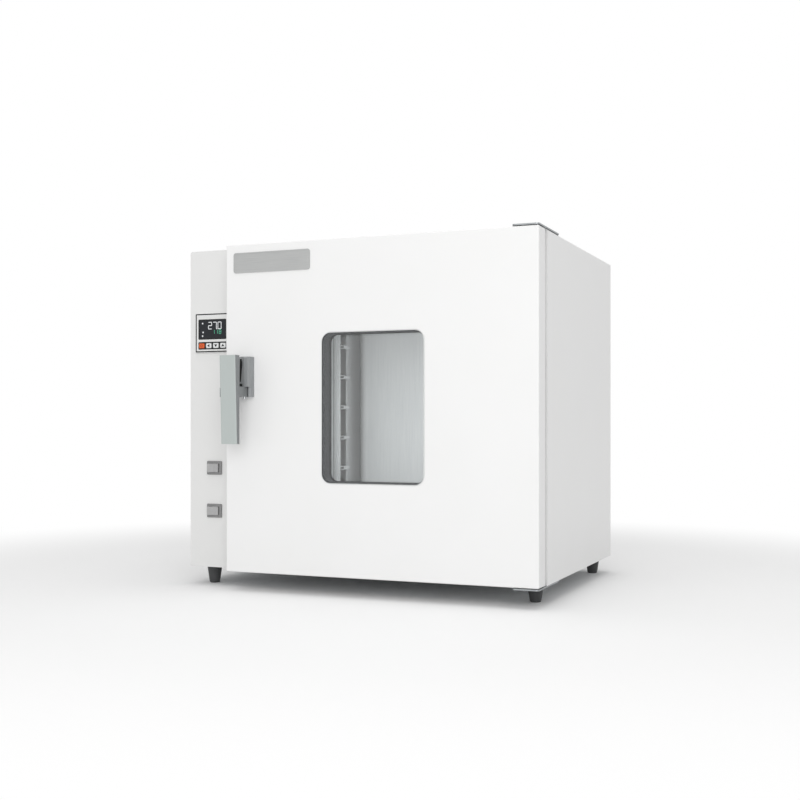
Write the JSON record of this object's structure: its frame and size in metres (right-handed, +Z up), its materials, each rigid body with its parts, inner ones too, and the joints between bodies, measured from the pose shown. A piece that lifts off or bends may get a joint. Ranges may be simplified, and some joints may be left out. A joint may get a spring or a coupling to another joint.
{
  "type": "laboratory oven",
  "caption": "Bench-top forced-air laboratory oven: white cabinet, windowed side-hung door with a lever handle, control column, steel chamber with wire shelves, fan and rubber feet.",
  "frame": {"origin": "centre of the object's box in plan, on the surface that its feet stand on", "axes": "+X to the right, +Y from the door towards the back, +Z up"},
  "size_m": [0.68, 0.597, 0.6453],
  "materials": {
    "white_enamel": "fine powder coat, satin",
    "zinc_sheet": "galvanised sheet",
    "stainless": "satin stainless steel",
    "mineral_wool": "loose mineral wool",
    "silicone_seal": "matt silicone",
    "fan_aluminium": "pressed sheet",
    "bright_steel": "turned steel",
    "motor_grey": "matt paint",
    "heater_steel": "heat-darkened sheath",
    "reveal_grey": "matt dark grey",
    "clear_glass": "clear toughened glass",
    "nameplate_metal": "brushed, bare of print",
    "hinge_grey": "dark grey coat",
    "bush_brass": "turned",
    "handle_housing": "satin grey coat on a casting",
    "handle_grey": "satin grey-green coat on a casting",
    "keeper_steel": "plated bracket",
    "controller_face": "pale face with a thin black edge",
    "black_plastic": "moulded",
    "display_black": "smoked window",
    "key_orange": "moulded",
    "key_pale": "moulded",
    "switch_base": "moulded",
    "switch_grey": "moulded",
    "relay_black": "moulded on a finned sink",
    "terminal_cream": "moulded",
    "vent_steel": "satin stainless steel",
    "foot_rubber": "matt dark rubber"
  },
  "bodies": {
    "cabinet": {"air_duct_panel": "stainless", "base_tray": "zinc_sheet", "cabinet_insulation": "mineral_wool", "cable_gland": "black_plastic", "chamber_liner": "stainless", "control_panel": "white_enamel", "controller_bezel": "controller_face", "controller_case": "black_plastic", "display_lens": "display_black", "door_gasket": "silicone_seal", "fan_motor": "motor_grey", "foot_front_left": "foot_rubber", "foot_front_right": "foot_rubber", "foot_rear_left": "foot_rubber", "foot_rear_right": "foot_rubber", "front_frame": "white_enamel", "fuse_holder": "black_plastic", "heater_elements": "heater_steel", "hinge_pin_bottom": "bright_steel", "hinge_pin_top": "bright_steel", "hinge_plate_bottom": "hinge_grey", "hinge_plate_top": "hinge_grey", "hinge_screws": "bright_steel", "latch_keeper": "keeper_steel", "motor_bracket": "zinc_sheet", "outer_wrap": "white_enamel", "partition_panel": "zinc_sheet", "rear_panel": "white_enamel", "relay": "relay_black", "rocker_frame_lower": "switch_base", "rocker_frame_upper": "switch_base", "shelf_rail_front_left": "stainless", "shelf_rail_front_right": "stainless", "shelf_rail_rear_left": "stainless", "shelf_rail_rear_right": "stainless", "temperature_probe": "stainless", "terminal_block": "terminal_cream", "vent_tube": "vent_steel"},
    "door": {"door_shell": "white_enamel", "door_inner_panel": "white_enamel", "door_insulation": "mineral_wool", "window_reveal": "reveal_grey", "outer_glass": "clear_glass", "inner_glass": "clear_glass", "nameplate": "nameplate_metal", "hinge_bushes": "bush_brass", "handle_base": "handle_housing", "handle_pin": "bright_steel"},
    "lever": {"handle_lever": "handle_grey"},
    "fan": {"fan_wheel": "fan_aluminium", "fan_shaft": "bright_steel"},
    "vent_damper": {"vent_cap": "vent_steel"},
    "lower_shelf": {"wire_shelf_lower": "stainless"},
    "upper_shelf": {"wire_shelf_upper": "stainless"},
    "lower_rocker": {"rocker_lower": "switch_grey"},
    "upper_rocker": {"rocker_upper": "switch_grey"},
    "key_button_1": {"key_1": "key_orange"},
    "key_button_2": {"key_2": "key_pale"},
    "key_button_3": {"key_3": "key_pale"},
    "key_button_4": {"key_4": "key_pale"}
  },
  "joints": [
    {"name": "door_hinge", "type": "hinge", "parent": "cabinet", "child": "door", "pos_m": [0.326, -0.2225, 0.323], "axis": [0, 0, 1], "range_deg": [0, 170]},
    {"name": "handle_pivot", "type": "hinge", "parent": "door", "child": "lever", "pos_m": [-0.189, -0.2525, 0.352], "axis": [0, 0, 1], "range_deg": [0, 35]},
    {"name": "fan_spin", "type": "hinge", "parent": "cabinet", "child": "fan", "pos_m": [0.054, 0.1615, 0.323], "axis": [0, 1, 0], "continuous": true},
    {"name": "vent_turn", "type": "hinge", "parent": "cabinet", "child": "vent_damper", "pos_m": [0.054, 0.1395, 0.63], "axis": [0, 0, 1], "range_deg": [0, 90]},
    {"name": "lower_shelf_slide", "type": "slide", "parent": "cabinet", "child": "lower_shelf", "axis": [0, -1, 0], "range_m": [0, 0.035]},
    {"name": "upper_shelf_slide", "type": "slide", "parent": "cabinet", "child": "upper_shelf", "axis": [0, -1, 0], "range_m": [0, 0.035]},
    {"name": "lower_rocker_tilt", "type": "hinge", "parent": "cabinet", "child": "lower_rocker", "pos_m": [-0.288, -0.1905, 0.1365], "axis": [0, 0, 1], "range_deg": [-18, 0]},
    {"name": "upper_rocker_tilt", "type": "hinge", "parent": "cabinet", "child": "upper_rocker", "pos_m": [-0.288, -0.1905, 0.215], "axis": [0, 0, 1], "range_deg": [-18, 0]},
    {"name": "key_1_press", "type": "slide", "parent": "cabinet", "child": "key_button_1", "axis": [0, 1, 0], "range_m": [0, 0.0008], "stiffness_N_per_m": 500},
    {"name": "key_2_press", "type": "slide", "parent": "cabinet", "child": "key_button_2", "axis": [0, 1, 0], "range_m": [0, 0.0008], "stiffness_N_per_m": 500},
    {"name": "key_3_press", "type": "slide", "parent": "cabinet", "child": "key_button_3", "axis": [0, 1, 0], "range_m": [0, 0.0008], "stiffness_N_per_m": 500},
    {"name": "key_4_press", "type": "slide", "parent": "cabinet", "child": "key_button_4", "axis": [0, 1, 0], "range_m": [0, 0.0008], "stiffness_N_per_m": 500}
  ]
}
